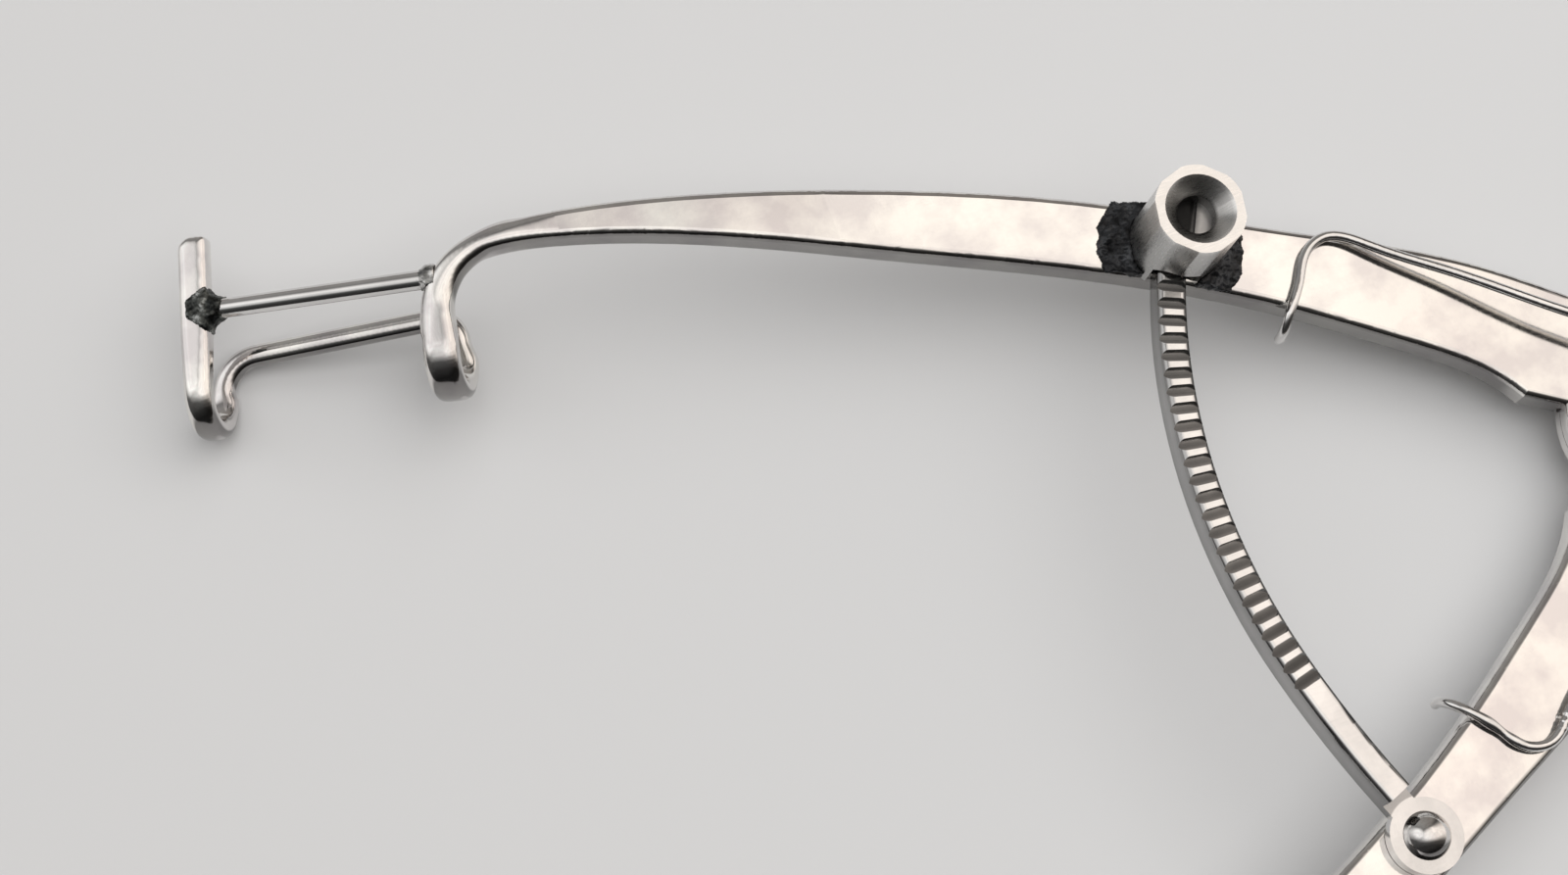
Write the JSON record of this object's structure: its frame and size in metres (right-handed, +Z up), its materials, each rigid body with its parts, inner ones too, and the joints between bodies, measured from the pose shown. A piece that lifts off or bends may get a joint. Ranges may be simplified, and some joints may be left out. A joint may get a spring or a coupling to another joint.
{
  "type": "eye speculum",
  "caption": "Spring lid retractor with arched steel arms, looped lid blades, a wire hinge spring and a curved ratchet bar through a guide post.",
  "frame": {"origin": "centre of the footprint at table level, with the instrument standing on its two far lid hooks and the domed nut under the hinge", "axes": "+X from the lid blades towards the hinge, +Y towards the arm that carries the guide post, +Z up from the table"},
  "size_m": [0.085, 0.0768, 0.0133],
  "materials": {
    "polished_steel": "mirror polished stainless steel with fine scratches",
    "satin_steel": "satin stainless steel",
    "spring_steel": "bright drawn wire",
    "burnt_solder": "black, heat-stained solder",
    "grey_solder": "dark grey solder"
  },
  "bodies": {
    "upper_side": {"upper_arm": "polished_steel", "upper_brace_wire": "spring_steel", "upper_brace_solder_near": "grey_solder", "upper_brace_solder_far": "grey_solder", "guide_post": "polished_steel", "post_solder_left": "burnt_solder", "post_solder_right": "burnt_solder", "detent_spring": "spring_steel", "detent_screw": "satin_steel", "pivot_screw": "polished_steel", "spring_collar": "satin_steel", "pivot_nut": "polished_steel", "torsion_spring": "spring_steel"},
    "lower_side": {"lower_arm": "polished_steel", "lower_brace_wire": "spring_steel", "lower_brace_solder_near": "grey_solder", "lower_brace_solder_far": "grey_solder", "ratchet_rivet": "polished_steel"},
    "ratchet": {"ratchet_bar": "satin_steel"},
    "detent": {"detent_plunger": "satin_steel"}
  },
  "joints": [
    {"name": "arm_hinge", "type": "hinge", "parent": "upper_side", "child": "lower_side", "pos_m": [0.03769, 0, 0.00375], "axis": [-0.1285, 0, -0.9917], "range_deg": [0, 36.5], "stiffness_Nm_per_rad": 0.08, "springref_deg": -34.38, "deforming": ["torsion_spring"]},
    {"name": "bar_swivel", "type": "hinge", "parent": "lower_side", "child": "ratchet", "pos_m": [0.01449, -0.0182, 0.00675], "axis": [0.1285, 0, 0.9917], "range_deg": [0, 6.3]},
    {"name": "detent_slide", "type": "slide", "parent": "upper_side", "child": "detent", "axis": [0.1285, 0, 0.9917], "range_m": [-0.00012, 0], "stiffness_N_per_m": 150, "springref_m": -0.001, "deforming": ["detent_spring"]}
  ],
  "couplings": [
    {"joint": "bar_swivel", "follows": "arm_hinge", "ratio": 0.172}
  ]
}
